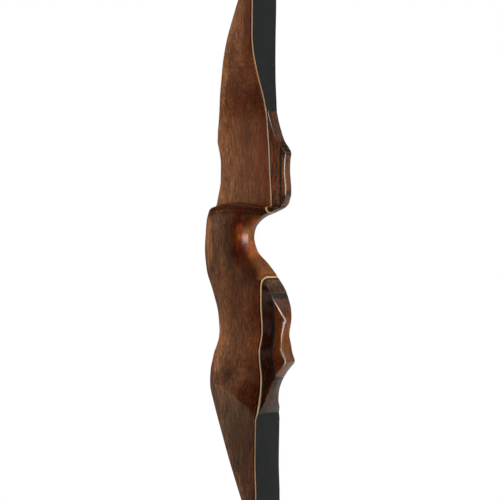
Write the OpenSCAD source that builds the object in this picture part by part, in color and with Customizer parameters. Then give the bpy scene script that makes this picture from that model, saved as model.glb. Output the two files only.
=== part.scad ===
// One-piece laminated recurve bow, right-handed, unstrung.
// Frame: +Z runs up the bow, -Y points at the archer (the belly side), +Y at the target
// (the back side), -X is the sight window side. The origin is the deepest point of the grip.
// Sections are described by a depth d towards the belly (-Y) and a width w towards -X.

/* [Limbs] */
// Full width of the limbs where they leave the riser
limb_w = 44.6; // [42:0.2:48]
// Full width of the limbs just before the tips
tip_w = 13; // [11:0.5:17]
// Length of each limb along its pale lamination, measured from the end of the riser profile
limb_len = 543; // [480:1:600]
// Lean of the limb towards the belly just past the fade, in degrees
limb_deflex = 7; // [3:0.5:10]
// Lean of the limb tip towards the back, in degrees
recurve_angle = 60; // [45:1:70]
// Length over which each riser fade runs out between the laminations
fade_len = 86; // [70:1:110]
// Length of the hardwood wedge inside each limb tip
tip_wedge_len = 170; // [120:1:200]
// Thickness of that wedge at the very tip
tip_wedge_t = 2.4; // [1.5:0.1:3.5]

/* [Laminations] */
// Thickness of the black glass on the belly
belly_glass_t = 1.1; // [0.9:0.1:1.6]
// Thickness of the pale wood lamination under the belly glass
belly_core_t = 1.2; // [1:0.1:2.2]
// Thickness of the clear glass on the back
back_glass_t = 1.2; // [0.9:0.1:1.6]
// Thickness of the brown wood lamination under the back glass, at the riser
back_core_t = 4.4; // [3.6:0.1:5]
// The same lamination at the limb tips
back_core_tip_t = 2.6; // [2:0.1:3.2]
// Thickness of the black accent strip in the riser overlays
accent_t = 2; // [1.2:0.1:2.6]
// Depth of the accent strip's inner face, measured from the deepest point of the grip
accent_d = 27.1; // [26:0.1:28.5]

/* [Sight window and shelf] */
// How far the window is cut past the centre plane
window_cut = 3; // [1:0.1:5]
// Height where the flat of the window starts to run out
window_top = 102; // [96:1:108]
// Length of the run-out above the flat of the window
window_runout = 82; // [70:1:90]
// Half width of the riser on the side away from the window
far_half = 20.7; // [19.5:0.1:21.5]
// Height of the crest of the arrow shelf
shelf_z = 31; // [29:0.5:33]
// Radius of the shelf's rolled outer edge
shelf_edge_r = 6; // [4:0.5:7]
// The same radius at the back of the shelf
shelf_back_r = 16; // [10:0.5:17]
// Radius of the fillet between shelf and window
shelf_fillet_r = 2; // [1:0.5:3]
// How far the shelf falls from its crest to its belly end
shelf_fall = 3.7; // [2.5:0.1:4.5]
// How much the shelf rises from its outer edge to the window
shelf_rise = 0.5; // [0.3:0.1:1]

/* [Riser profile] */
// Depth of the grip from the throat to the back
grip_depth = 43.3; // [40:0.1:46]
// Depth of the upper overlay's face
block_d = 32; // [31:0.2:34]
// Height of the upper overlay's top corner
block_top = 79; // [74:1:84]
// Greatest depth of the heel
heel_d = 40; // [38:0.2:42]
// Distance below the throat where the heel breaks into its ramp
heel_z = 115; // [112:1:117]

/* [String nocks] */
// Distance of the string grooves from the end of the tip
nock_from_tip = 19; // [16:0.5:24]
// Radius of each string groove
nock_r = 2.2; // [1.6:0.1:2.6]
// How deep each groove is cut into the edge
nock_depth = 1.9; // [1.2:0.1:2.4]
// Length of the overlays on the back of each tip
tip_overlay_len = 52; // [44:1:60]
// Thickness of the black strip in the tip overlay
tip_black_t = 1; // [0.7:0.1:1.4]
// Thickness of the pale strip in the tip overlay
tip_pale_t = 1.4; // [1:0.1:1.8]
// Thickness of the hardwood cap of the tip overlay
tip_cap_t = 2.8; // [2:0.1:3.6]

/* [Hidden] */

// Ends of the riser profile: beyond them the limbs follow their own curved path
riser_hi = 208;
riser_lo = -230;

// A curve through control points [x, y]; a third entry of 1 marks a sharp corner
function rise(p, i) = (p[i + 1][1] - p[i][1]) / (p[i + 1][0] - p[i][0]);
function smooth_slope(p, i) = let (a = rise(p, i - 1), b = rise(p, i)) a * b <= 0 ? 0 : 2 * a * b / (a + b);
function slope_left(p, i) = i == len(p) - 1 || p[i][2] == 1 ? rise(p, i - 1) : smooth_slope(p, i);
function slope_right(p, i) = i == 0 || p[i][2] == 1 ? rise(p, i) : smooth_slope(p, i);
function span_of(p, x, i = 0) = i < len(p) - 2 && x > p[i + 1][0] ? span_of(p, x, i + 1) : i;
function clamp(x, lo = 0, hi = 1) = max(lo, min(hi, x));
function curve(p, x) =
    let (
        i = span_of(p, x),
        h = p[i + 1][0] - p[i][0],
        u = clamp((x - p[i][0]) / h)
    )
    (2 * pow(u, 3) - 3 * pow(u, 2) + 1) * p[i][1]
    + (pow(u, 3) - 2 * pow(u, 2) + u) * h * slope_right(p, i)
    + (3 * pow(u, 2) - 2 * pow(u, 3)) * p[i + 1][1]
    + (pow(u, 3) - pow(u, 2)) * h * slope_left(p, i + 1);

// Side profile: where the riser wood meets the pale lamination
glue_line = [
    [riser_lo, 15.1], [-205, 14.3], [-175, 14.8], [-160, 15.1], [-100, 15.5], [-40, 15.7], [20, 17.9],
    [34, 17.8], [56, 16.6], [79, 15.5], [102, 13.9], [125, 12.7], [147, 11.6], [170, 11.3],
    [riser_hi, 11.6]
];
// Side profile of the back as it is carved
back_line = [
    [riser_lo, -1.8], [-203, -11.1], [-175, -19.9], [-148, -27.9], [-134, -31.3], [-121, -31.7],
    [-107, -30.7], [-90, -28.1], [-70, -30.1], [-48, -36.1], [-30, 1.5 - grip_depth],
    [-12, -grip_depth], [4, 1.4 - grip_depth], [20, -39.9], [30, -39.1], [38, -37.2], [52, -34.3],
    [66, -34.1], [87, -37.3, 1], [106, -35.6], [125, -32.2], [147, -24.9], [170, -16.8],
    [193, -9.5], [riser_hi, -4.5]
];
// Back face of the back laminations, which the carving cuts through beside the grip
lamination_back = [
    [riser_lo, -1.8], [-203, -11.1], [-175, -19.9], [-148, -27.9], [-134, -31.3], [-112, -34.7],
    [-90, -38.7], [-60, -48.3], [0, -54.3], [40, -45.3], [66, -39.9], [87, -37.3], [106, -35.6],
    [125, -32.2], [147, -24.9], [170, -16.8], [193, -9.5], [riser_hi, -4.5]
];
// Side profile of the belly: heel with its ramp, throat, and the upper overlay with its ramp
belly_line = [
    [-190, 8], [-170, 13.8], [-157, 18.2], [-148, 20.8], [-139, 23.1], [-134.5, 24.9], [-130, 27.1],
    [-heel_z - 7, 32.4], [-heel_z, heel_d - 1, 1], [-heel_z + 2.6, heel_d], [-heel_z + 5, heel_d - 0.7],
    [-heel_z + 8, 37.6], [-heel_z + 12, 36.4], [-90, 35.4], [-76, 36.6], [-66, 34.2], [-57, 30],
    [-48, 25.1], [-36, 16.1], [-24, 9.1], [-12, 2], [0, 0], [8, 1.2], [15, 5.6],
    [shelf_z - 10.3, 11], [shelf_z - 5.3, 20.2], [shelf_z - 0.6, 27.7], [shelf_z + 3, 30.6],
    [shelf_z + 6, block_d - 0.5], [shelf_z + 9.5, block_d + 0.7], [shelf_z + 14, block_d + 0.8],
    [60, block_d - 0.4], [block_top - 9, block_d], [block_top - 4, block_d + 0.7],
    [block_top - 1, block_d - 0.5], [block_top + 4, 27.2], [88, 23.6], [97, 20.1], [106, 17.4],
    [115, 15.4], [127, 13.4], [150, 11]
];

// Half widths on the window side, at the back of the section and at the glue line
near_back = [
    [riser_lo, limb_w / 2], [-134, limb_w / 2 - 0.2], [-121, 21.4], [-107, 20.2], [-96, 17.6],
    [-84, 15.6], [-66, 15], [-45, 15.6], [-24, 16.6], [0, 18], [20, 19.4], [40, 20]
];
near_glue = [
    [riser_lo, limb_w / 2], [-164.5, limb_w / 2, 1], [-157, 19.2], [-148, 15.6], [-139, 13.2],
    [-130, 12.4], [-121, 13.4], [-112, 15.4], [-103, 15.9], [-94, 12.8], [-85, 10.8], [-75, 11.4],
    [-66, 12.8], [-54, 13.2], [-44, 13.2], [-24, 15.4], [0, 17.4], [20, 19.4], [40, 20]
];
// The same on the side away from the window
far_back = [
    [riser_lo, limb_w / 2], [-134, limb_w / 2 - 0.2], [-110, 20.6], [-90, 18.8], [-66, 18.4],
    [-40, 19.4], [-10, 20], [20, far_half], [window_top + 30, far_half], [riser_hi, limb_w / 2]
];
far_glue = [
    [riser_lo, limb_w / 2], [-164.5, limb_w / 2, 1], [-157, 20.4], [-148, 16.2], [-139, 13.6],
    [-130, 12.8], [-121, 13], [-112, 14.2], [-103, 15], [-94, 14], [-85, 13.4], [-75, 15],
    [-64, 17.6], [-52, 20.2], [-40, 21.6], [-24, 21], [0, 20.4], [20, far_half],
    [window_top + 30, far_half], [riser_hi, limb_w / 2]
];
// Half widths of the belly face itself, window side and far side
near_face = [
    [-200, limb_w / 2], [-165, limb_w / 2, 1], [-156, 16], [-148, 12.2], [-139, 10], [-130, 9.4],
    [-heel_z - 6, 10.8], [-heel_z + 1, 11], [-heel_z + 8, 10.4], [-98, 9.2], [-88, 7], [-80, 4.2],
    [-76, 3.8], [-72, 7.2], [-67, 11], [-58, 14.8], [-50, 14.6], [-45, 12.4], [-40, 6], [-34, -0.5],
    [-16, -1.2], [0, -0.4], [16, 0.5], [40, 0.5]
];
far_face = [
    [-200, limb_w / 2], [-165, limb_w / 2, 1], [-156, 19.8], [-148, 13.4], [-139, 10.4], [-130, 9],
    [-heel_z - 6, 8.4], [-heel_z + 1, 8], [-heel_z + 8, 9.2], [-98, 7.6], [-88, 4.2], [-77, 5.6],
    [-66, 11], [-54, 16.4], [-46, 19], [-36, 20.8], [-26, 16], [-12, 4.4], [0, 1.8], [12, 3.6],
    [24, 10], [36, far_half - 7], [block_top - 6, far_half - 7], [block_top + 6, far_half - 1],
    [window_top + 10, far_half - 0.3], [riser_hi, limb_w / 2]
];
// How far the belly corner reaches back, and its fullness: 1 is a plain taper, 2 an ellipse
near_reach = [
    [-165, 4], [-150, 6], [-139, 8], [-heel_z - 6, 18], [-heel_z + 1, 20], [-heel_z + 8, 9],
    [-98, 9.5], [-86, 9.5], [-78, 10], [-72, 8], [-66, 6], [-58, 12], [-50, 10.5], [-44, 8], [-40, 9],
    [-36, 12], [-20, 17], [0, 21], [10, 27], [shelf_z - 11, 37], [shelf_z - 1, 43], [shelf_z + 9, 43]
];
near_full = [
    [-heel_z - 5, 1], [-heel_z + 2, 1], [-heel_z + 8, 1.5], [-98, 1.7], [-88, 1.7], [-78, 1.4],
    [-70, 1.25], [-64, 1.2], [-58, 1], [-50, 1], [-44, 1.3], [-38, 2], [8, 2], [shelf_z - 5, 1.6],
    [shelf_z, 1.6], [shelf_z + 3, 2], [110, 2]
];
far_reach = [
    [-165, 4], [-150, 6], [-139, 8], [-heel_z - 6, 18], [-heel_z + 1, 20], [-heel_z + 8, 7],
    [-98, 8], [-86, 11], [-76, 11], [-66, 8], [-54, 5], [-36, 5], [-22, 14], [0, 23], [18, 18],
    [30, 8], [block_top - 6, 8], [block_top + 6, 2], [120, 0.6]
];
far_full = [
    [-heel_z - 5, 1], [-heel_z + 2, 1], [-heel_z + 11, 1.6], [-96, 2], [8, 2], [shelf_z - 5, 1.6],
    [shelf_z, 1.6], [shelf_z + 3, 2], [110, 2]
];
// Rounding of the back corners: its share of the width and its reach towards the belly
back_round = [
    [-140, 0], [-124, 1], [-106, 4.5], [-84, 7.5], [-12, 9.5], [22, 9], [34, 4], [60, 3], [80, 1], [92, 0]
];
back_reach = [
    [-140, 1], [-124, 2], [-106, 8], [-84, 13], [-12, 16], [22, 15], [34, 6], [60, 4], [80, 2], [92, 1]
];
// The shelf by depth: its line from back to belly, and the radius of its rolled outer edge
shelf_line = [
    [-44, -4.9], [-38, -3.8], [-25, -1.2], [-12, 0], [0, -0.3 * shelf_fall], [11.4, -0.92 * shelf_fall],
    [18, -shelf_fall], [30, -shelf_fall]
];
shelf_roll = [
    [-44, shelf_back_r], [-34, shelf_back_r - 1.5], [-22, shelf_edge_r + 2], [-10, shelf_edge_r],
    [30, shelf_edge_r]
];
// Where the scooped side meets the flat side of the lower fade: height by depth. Below
// scoop_low the scoop starts to bend towards this line, and scoop_fade lower it follows it
scoop_end = [[-31, -133], [-14, -137], [-7, -141], [-2, -145.5], [3, -151], [15, -164.5]];
scoop_low = -110;
scoop_fade = 26;

// Lean of a limb along its length, towards the belly, in degrees
limb_lean = [
    [0, 0], [60, limb_deflex - 1], [150, limb_deflex], [250, 0], [340, -0.24 * recurve_angle],
    [430, -0.64 * recurve_angle], [500, -0.93 * recurve_angle], [600, -recurve_angle]
];
limb_taper = [
    [0, limb_w / 2], [0.24 * limb_len, limb_w / 2], [0.55 * limb_len, 0.8 * limb_w / 2],
    [0.79 * limb_len, 0.5 * limb_w / 2], [limb_len - 34, tip_w / 2 + 0.2], [limb_len - 10, tip_w / 2]
];
function limb_half(s) = curve(limb_taper, s);

function corner(t, n) = 1 - pow(max(0, 1 - pow(t, n)), 1 / n);
function smoothstep(t) = (1 - cos(180 * clamp(t))) / 2;

// Half width of the riser body at height z and depth d, before the window is cut
function body_half(z, d, at_back, at_glue, face, reach, full) =
    let (
        db = curve(back_line, z),
        dg = curve(glue_line, z),
        de = belly_d(z),
        scoop_z = curve(scoop_end, d),
        pull = clamp((scoop_low - z) / scoop_fade),
        zg = d < dg ? z + pull * (scoop_end[5][1] - scoop_z) : z,
        v = clamp((d - db) / (dg - db)),
        plain = curve(at_back, z) * (1 - v) + curve(at_glue, zg) * v,
        br = curve(back_reach, z),
        rounded = plain - curve(back_round, z) * corner(clamp((db + br - d) / br), 2),
        r = curve(reach, z),
        t = clamp((d - de + r) / r)
    )
    rounded + (curve(face, z) - rounded) * corner(t, curve(full, z));

function near_body(z, d) = body_half(z, d, near_back, near_glue, near_face, near_reach, near_full);
function far_body(z, d) = body_half(z, d, far_back, far_glue, far_face, far_reach, far_full);

// The window: flat, with eased corners up to the overlay's top, and running out to the full
// width above
window_ease = 1.8;
ease_reach = 2.4;
ease_fade = 20;
function window_half(z, d) =
    let (
        full = limb_w / 2,
        w = (full + window_cut) * smoothstep((z - window_top) / window_runout) - window_cut,
        from_back = d - curve(back_line, z),
        from_belly = belly_d(z) - d,
        ease = window_ease * (1 - clamp((z - block_top) / ease_fade))
    )
    w - ease * (
        corner(clamp(1 - from_back / ease_reach), 2) + corner(clamp(1 - from_belly / ease_reach), 2)
    );

// Half width on the window side; stage 1 is the inner end of the shelf's flat
fillet_top = shelf_z + shelf_rise + shelf_fillet_r;
function near_half(z, d, stage) =
    let (r = curve(shelf_roll, d))
    z < shelf_z - r ? near_body(z, d)
    : stage == 0
    ? max(
        near_body(z, d) - r + sqrt(pow(r, 2) - pow(z - shelf_z + r, 2)),
        window_half(z, d) + shelf_fillet_r
    )
    : z < fillet_top
    ? window_half(z, d) + shelf_fillet_r - sqrt(pow(shelf_fillet_r, 2) - pow(fillet_top - z, 2))
    : window_half(z, d);

// The shelf's line shifts the sections near it down by depth, away from its crest
shift_fade = 24;
function crown(z, d) = curve(shelf_line, d) * clamp(1 - abs(z - shelf_z) / shift_fade);

// Belly of the riser, no lower than the glass where the ramps have run out
function glass_d(z) = curve(glue_line, z) + belly_core_t + belly_glass_t;
function belly_d(z) =
    z > block_top || z < -heel_z ? max(curve(belly_line, z), glass_d(z)) : curve(belly_line, z);

// Faces between the layers at height z, from the back glass to the outer overlay, which only
// the carving ends: outside is a depth past all that is carved
outside = 2 * heel_d;
function layer_faces(z) =
    let (b = curve(lamination_back, z), g = curve(glue_line, z))
    [
        b, b + back_glass_t, b + back_glass_t + back_core_t, g, g + belly_core_t,
        g + belly_core_t + belly_glass_t, accent_d, accent_d + accent_t, outside
    ];

// Height between a and b where the carved belly or back crosses layer face k
function crossing(f, k, a, b, n = 26) =
    let (m = (a + b) / 2)
    n == 0 ? m : (f(a) - layer_faces(a)[k]) * (f(m) - layer_faces(m)[k]) <= 0
    ? crossing(f, k, a, m, n - 1) : crossing(f, k, m, b, n - 1);
belly_cut = function (z) curve(belly_line, z);
back_cut = function (z) curve(back_line, z);
crossings = concat(
    [for (k = [3:7]) crossing(belly_cut, k, 0, 46)],
    [for (k = [5:7]) crossing(belly_cut, k, block_top - 2, 145)],
    [for (k = [3:7]) crossing(belly_cut, k, -76, 0)],
    [for (k = [5:7]) crossing(belly_cut, k, -188, -heel_z - 1)],
    [for (k = [1:2]) crossing(back_cut, k, 66, 92)],
    [for (k = [1:2]) crossing(back_cut, k, -136, -95)]
);

// Heights of the riser's sections: closer together where the form turns quickly
plain_heights = concat(
    [for (z = [riser_lo : 12 : -170]) z],
    [for (z = [-166 : 4.8 : -heel_z - 2]) z],
    [-heel_z],
    [-heel_z + 1.5, -heel_z + 3],
    [for (z = [-heel_z + 5 : 4.6 : shelf_z - shelf_back_r - 1]) z],
    [shelf_z - shelf_back_r, shelf_z - shelf_back_r + 3],
    [for (a = [0 : 18 : 72]) shelf_z - shelf_edge_r + shelf_edge_r * sin(a)],
    [for (a = [30, 60, 90]) fillet_top - shelf_fillet_r * cos(a)],
    [for (z = [36 : 4 : 48]) z],
    [for (z = [56 : 8 : block_top - 10]) z],
    [for (z = [block_top - 6 : 3 : block_top + 3]) z],
    [for (z = [87 : 5 : 178]) z],
    [for (z = [riser_hi - 24 : 8 : riser_hi]) z]
);
function near_any(z, list, gap) = len([for (x = list) if (abs(x - z) < gap) 1]) > 0;
function sorted(v) = len(v) < 2 ? v :
    let (p = v[floor(len(v) / 2)])
    concat(
        sorted([for (x = v) if (x < p) x]), [for (x = v) if (x == p) x],
        sorted([for (x = v) if (x > p) x])
    );
heights = sorted(concat(crossings, [for (z = plain_heights) if (!near_any(z, crossings, 0.8)) z]));

// A section: [origin depth, origin height, normal depth, normal height, carved back,
// carved belly, layer faces, riser height or undef, shelf stage or distance along the limb,
// limb half width]
function riser_section(z, stage) =
    [0, z, 1, 0, curve(back_line, z), belly_d(z), layer_faces(z), z, stage, 0];
function is_limb(c) = is_undef(c[7]);
shelf_pair = [riser_section(shelf_z, 0), riser_section(shelf_z + shelf_rise, 1)];
riser_sections = concat(
    [for (z = heights) if (z < shelf_z - 0.1) riser_section(z, 0)],
    shelf_pair,
    [for (z = heights) if (z > shelf_z + shelf_rise + 0.1) riser_section(z, 1)]
);

// Distances along the limb, closer together in the recurve and around the string grooves
nock_s = limb_len - nock_from_tip;
groove_half = sqrt(pow(nock_r, 2) - pow(max(0, nock_r - nock_depth), 2));
limb_steps = concat(
    [for (s = [8 : 13 : fade_len - 6]) s],
    [fade_len],
    [for (s = [fade_len + 16 : 22 : 300]) s],
    [for (s = [306 : 15 : limb_len - tip_overlay_len - 4]) s],
    [
        for (i = [0 : 4])
            limb_len - tip_overlay_len + i * (tip_overlay_len - nock_from_tip - groove_half - 1) / 4
    ],
    [for (a = [-90 : 30 : 90]) nock_s + groove_half * sin(a)],
    [for (x = [10, 6, 3.6, 1.8, 0.6, 0]) limb_len - x]
);
// Path of the limb in depth and height, summed along its length
path_step = 3;
function heading(s) = let (a = curve(limb_lean, s)) [sin(a), cos(a)];
path_points = [
    for (s = 0, p = [0, 0]; s <= limb_len + path_step;
        s = s + path_step, p = p + path_step * heading(s - path_step / 2)) p
];
function path_at(s) =
    let (i = floor(s / path_step), u = s / path_step - i) path_points[i] * (1 - u) + path_points[i + 1] * u;

// Half width near the tip: string grooves in both edges and an end rounded to a short flat
tip_round = 7;
tip_flat_half = 1.5;
function tip_half(s) =
    let (
        x = abs(s - nock_s),
        groove = x < nock_r ? max(0, sqrt(pow(nock_r, 2) - x * x) - nock_r + nock_depth) : 0,
        e = limb_len - s,
        end = e < tip_round ? (tip_w / 2 - tip_flat_half) * (1 - sqrt(1 - pow(1 - e / tip_round, 2))) : 0
    )
    limb_half(s) - groove - end;

// The tip overlay has its full thickness over the last cap_flat_len; its end is rounded down
// over cap_round to the share cap_end
cap_flat_len = 26;
cap_round = 6;
cap_end = 0.55;
function limb_section(s, side) =
    let (
        start = side > 0 ? riser_hi : riser_lo,
        lean = curve(limb_lean, s),
        p = path_at(s),
        core = back_core_t + (back_core_tip_t - back_core_t) * clamp(s / limb_len),
        first = curve(glue_line, start) - curve(lamination_back, start) - back_glass_t - back_core_t,
        fade = first * pow(clamp(1 - s / fade_len), 3),
        wedge = tip_wedge_t * clamp((s - limb_len + tip_wedge_len) / tip_wedge_len),
        in = -max(fade, wedge),
        out = in - core - back_glass_t,
        ramp = clamp((s - limb_len + tip_overlay_len) / (tip_overlay_len - cap_flat_len)),
        all_tip = tip_black_t + tip_pale_t + tip_cap_t,
        end = clamp((limb_len - s) / cap_round),
        cap = all_tip * ramp * (cap_end + (1 - cap_end) * sqrt(end * (2 - end)))
    )
    [
        curve(glue_line, start) + p[0], start + side * p[1], cos(lean), -side * sin(lean),
        out - cap, belly_core_t + belly_glass_t,
        [
            out, out + back_glass_t, in, 0, belly_core_t, belly_core_t + belly_glass_t,
            outside, outside, outside, out - tip_black_t, out - tip_black_t - tip_pale_t,
            out - all_tip
        ],
        undef, s, tip_half(s)
    ];

upper_limb = [for (s = limb_steps) limb_section(s, 1)];
lower_limb = [for (i = [len(limb_steps) - 1 : -1 : 0]) limb_section(limb_steps[i], -1)];
all_sections = concat(lower_limb, riser_sections, upper_limb);
mid = len(lower_limb) + len([for (c = riser_sections) if (c[1] < 0) 1]);
lower_half = [for (i = [0 : mid]) all_sections[i]];
upper_half = [for (i = [mid : len(all_sections) - 1]) all_sections[i]];

function round_to(x) = round(x * 1000) / 1000;
// Point at depth d and width w of a section
function place(c, d, w) =
    let (z = is_limb(c) ? 0 : crown(c[7], d))
    [round_to(-w), round_to(-(c[0] + d * c[2])), round_to(c[1] + d * c[3] + z)];

// Widths of a section on its two sides
function near_at(c, d) = is_limb(c) ? c[9] : near_half(c[7], d, c[8]);
function far_at(c, d) = is_limb(c) ? c[9] : far_body(c[7], d);

// Depths of a layer in a section, kept inside the carved outline. Thinner than least_t it
// shrinks to one depth, and the layer ends there
least_t = 0.012;
function layer_span(c, lo_face, hi_face) =
    let (
        lo = max(c[6][lo_face], c[4]),
        hi = min(c[6][hi_face], c[5]),
        edge = max(min(lo, hi), c[4])
    )
    hi - lo > least_t ? [lo, hi] : [edge, edge];

// One ring of points: up the window side from back to belly and down the far side. Rings with
// many points have them closer together at both faces, where the corners are rounded
function ring(c, span, n) =
    let (depths = [for (j = [0 : n]) span[0] + (span[1] - span[0]) * (n < 4 ? j / n : smoothstep(j / n))])
    concat(
        [for (d = depths) place(c, d, near_at(c, d))],
        [for (j = [n : -1 : 0]) place(c, depths[j], -far_at(c, depths[j]))]
    );

function whole(p, f) = p[f[0]] != p[f[1]] && p[f[1]] != p[f[2]] && p[f[2]] != p[f[0]];

// A solid through rings of equal length; rings that shrink to a line close it to a feather edge
module loft(rings, n) {
    m = 2 * n + 2;
    last = (len(rings) - 1) * m;
    points = [for (r = rings) each r];
    sides = [
        for (i = [0 : len(rings) - 2], j = [0 : m - 1])
            let (a = i * m + j, b = i * m + (j + 1) % m)
            each [[a, a + m, b + m], [a, b + m, b]]
    ];
    caps = [
        for (j = [0 : n - 1])
            let (k = m - 1 - j)
            each [
                [j, j + 1, k - 1], [j, k - 1, k],
                [last + j, last + k - 1, last + j + 1], [last + j, last + k, last + k - 1]
            ]
    ];
    polyhedron(points, [for (f = concat(sides, caps)) if (whole(points, f)) f]);
}

// A layer between two faces, along those sections of a list where it has thickness
module layer(sections, lo_face, hi_face, n = 1) {
    spans = [for (c = sections) layer_span(c, lo_face, hi_face)];
    thick = [for (s = spans) s[1] > s[0]];
    kept = [
        for (i = [0 : len(sections) - 1])
            if (thick[i] || (i > 0 && thick[i - 1]) || (i < len(sections) - 1 && thick[i + 1])) i
    ];
    loft([for (i = kept) ring(sections[i], spans[i], n)], n);
}

// The riser block reaches between the laminations of both limbs, up to the end of its fades
module riser_block() color("#6e4a35")
    layer([for (c = all_sections) if (!is_limb(c) || c[8] < fade_len + 1) c], 2, 3, 12);

module belly_core(half) color("#c49b6e") layer(half, 3, 4);
module belly_glass(half) color("#2b2c2c") layer(half, 4, 5);
module back_core(half) color("#7b533b") layer(half, 1, 2);
module back_glass(half) color("#5c3f2d") layer(half, 0, 1);
module overlay_inner(half) color("#3d2417") layer(half, 5, 6, 3);
module overlay_accent(half) color("#1c1b1a") layer(half, 6, 7);
module overlay_outer(half) color("#8a5634") layer(half, 7, 8, 5);

// Only the outer part of a limb, for the pieces at the tip
fade_gap = 20;
function limb_only(half) = [for (c = half) if (is_limb(c) && c[8] > fade_len + fade_gap) c];
module tip_wedge(half) color("#5d3a26") layer(limb_only(half), 2, 3);
module tip_black(half) color("#1c1b1a") layer(limb_only(half), 9, 0);
module tip_pale(half) color("#c49b6e") layer(limb_only(half), 10, 9);
module tip_cap(half) color("#6e4a35") layer(limb_only(half), 11, 10);

riser_block();
belly_core(upper_half);  // upper_belly_core
belly_core(lower_half);  // lower_belly_core
belly_glass(upper_half);  // upper_belly_glass
belly_glass(lower_half);  // lower_belly_glass
back_core(upper_half);  // upper_back_core
back_core(lower_half);  // lower_back_core
back_glass(upper_half);  // upper_back_glass
back_glass(lower_half);  // lower_back_glass
overlay_inner(upper_half);  // upper_overlay_inner
overlay_inner(lower_half);  // lower_overlay_inner
overlay_accent(upper_half);  // upper_overlay_accent
overlay_accent(lower_half);  // lower_overlay_accent
overlay_outer(upper_half);  // upper_overlay_outer
overlay_outer(lower_half);  // lower_overlay_outer
tip_wedge(upper_half);  // upper_tip_wedge
tip_wedge(lower_half);  // lower_tip_wedge
tip_black(upper_half);  // upper_tip_black
tip_black(lower_half);  // lower_tip_black
tip_pale(upper_half);  // upper_tip_pale
tip_pale(lower_half);  // lower_tip_pale
tip_cap(upper_half);  // upper_tip_cap
tip_cap(lower_half);  // lower_tip_cap
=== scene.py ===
import bisect
import math

import bmesh
import bpy
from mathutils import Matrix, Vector


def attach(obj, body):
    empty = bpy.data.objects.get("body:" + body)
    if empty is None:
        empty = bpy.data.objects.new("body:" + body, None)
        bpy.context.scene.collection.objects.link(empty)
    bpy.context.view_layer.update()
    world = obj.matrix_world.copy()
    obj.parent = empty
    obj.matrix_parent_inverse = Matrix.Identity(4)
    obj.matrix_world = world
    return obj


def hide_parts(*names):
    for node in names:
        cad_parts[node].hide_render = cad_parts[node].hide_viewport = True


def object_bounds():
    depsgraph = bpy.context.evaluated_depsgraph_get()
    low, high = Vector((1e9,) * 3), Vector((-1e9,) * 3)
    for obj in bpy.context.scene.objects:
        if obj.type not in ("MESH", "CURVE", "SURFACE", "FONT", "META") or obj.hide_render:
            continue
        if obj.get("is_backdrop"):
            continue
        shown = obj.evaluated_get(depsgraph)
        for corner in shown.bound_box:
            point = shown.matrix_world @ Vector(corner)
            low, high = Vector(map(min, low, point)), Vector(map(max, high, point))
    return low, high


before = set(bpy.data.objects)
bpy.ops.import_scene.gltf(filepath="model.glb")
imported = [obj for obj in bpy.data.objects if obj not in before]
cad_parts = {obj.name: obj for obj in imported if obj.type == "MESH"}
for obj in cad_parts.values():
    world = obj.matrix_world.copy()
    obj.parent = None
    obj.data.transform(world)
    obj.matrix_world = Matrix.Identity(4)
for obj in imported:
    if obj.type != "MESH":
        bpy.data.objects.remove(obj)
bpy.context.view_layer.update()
print("frame loaded with", len(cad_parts), "nodes")

# The camera looks at the sight window side, turned towards the belly
cameraView = {
    "turn": 62.5,          # degrees from the belly towards the window side
    "rise": 0.0,
    "distance": 3.0,
    "frameWidth": 0.4545,  # metres across the picture at the grip
    "aimRight": -0.00148,  # metres from the grip to the middle of the picture
    "aimUp": -0.0118,
    "sensor": 36.0,
}


def lookDirection(turn, rise):
    a, e = math.radians(-turn), math.radians(rise)
    return -Vector((math.sin(a) * math.cos(e), -math.cos(a) * math.cos(e), math.sin(e)))


# Puts a camera or a lamp into the scene, looking ahead
def stand(item, location, ahead):
    item.location = location
    item.rotation_mode = "QUATERNION"
    item.rotation_quaternion = ahead.to_track_quat("-Z", "Y")
    bpy.context.scene.collection.objects.link(item)


def makeCamera(view):
    ahead = lookDirection(view["turn"], view["rise"])
    right = ahead.cross(Vector((0, 0, 1))).normalized()
    aim = right * view["aimRight"] + Vector((0, 0, view["aimUp"]))
    data = bpy.data.cameras.new("photoCamera")
    data.sensor_width = view["sensor"]
    data.lens = view["sensor"] * view["distance"] / view["frameWidth"]
    data.clip_start, data.clip_end = 0.05, 60
    camera = bpy.data.objects.new("photoCamera", data)
    stand(camera, aim - ahead * view["distance"], ahead)
    bpy.context.scene.camera = camera
    return ahead


lookAhead = makeCamera(cameraView)
print("camera made")

# Riser, seen from the side. Heights and depths are in millimetres from the throat of the grip,
# depths towards the belly. A third value of 1 marks a sharp corner of a curve.
riserShape = {
    "top": 208,
    "bottom": -230,
    "limbHalf": 22.3,       # half width of the limbs
    "farHalf": 20.7,        # half width of the far side beside the window
    "gripDepth": 43.3,
    "blockDepth": 32,       # belly of the block over the shelf
    "blockTop": 79,
    "heelDepth": 40,
    "heelDrop": 115,
    "windowCut": 3,         # past the middle plane
    "windowTop": 102,
    "windowRunout": 82,
    "shelf": 31,
    "shelfEdge": 6,         # radius of the shelf's rolled edge, in front and at the back
    "shelfEdgeBack": 16,
    "shelfFall": 3.7,
    "shelfFillet": 2,
    "shelfRise": 0.5,
    "crownReach": 24,       # how far from the shelf its fall still bends the sections
    "windowEase": 1.8,
    "windowEaseReach": 2.4,
    "windowEaseFade": 20,   # height over the block in which that ends
    "edgeEase": 0.4,
    "heelEase": 1.3,        # the softened ridge of the heel
    "heelEaseBelow": 8,     # where it begins under the heel
    "heelEaseTop": -50,     # where it ends
    "heelEaseFade": 14,
    "fadeEnd": -164.5,      # where the grip's carving ends in the lower limb
    "scoopLow": -110,
    "scoopFade": 26,
    "sectionStep": 1.7,
    "leastStep": 0.35,
}


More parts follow.
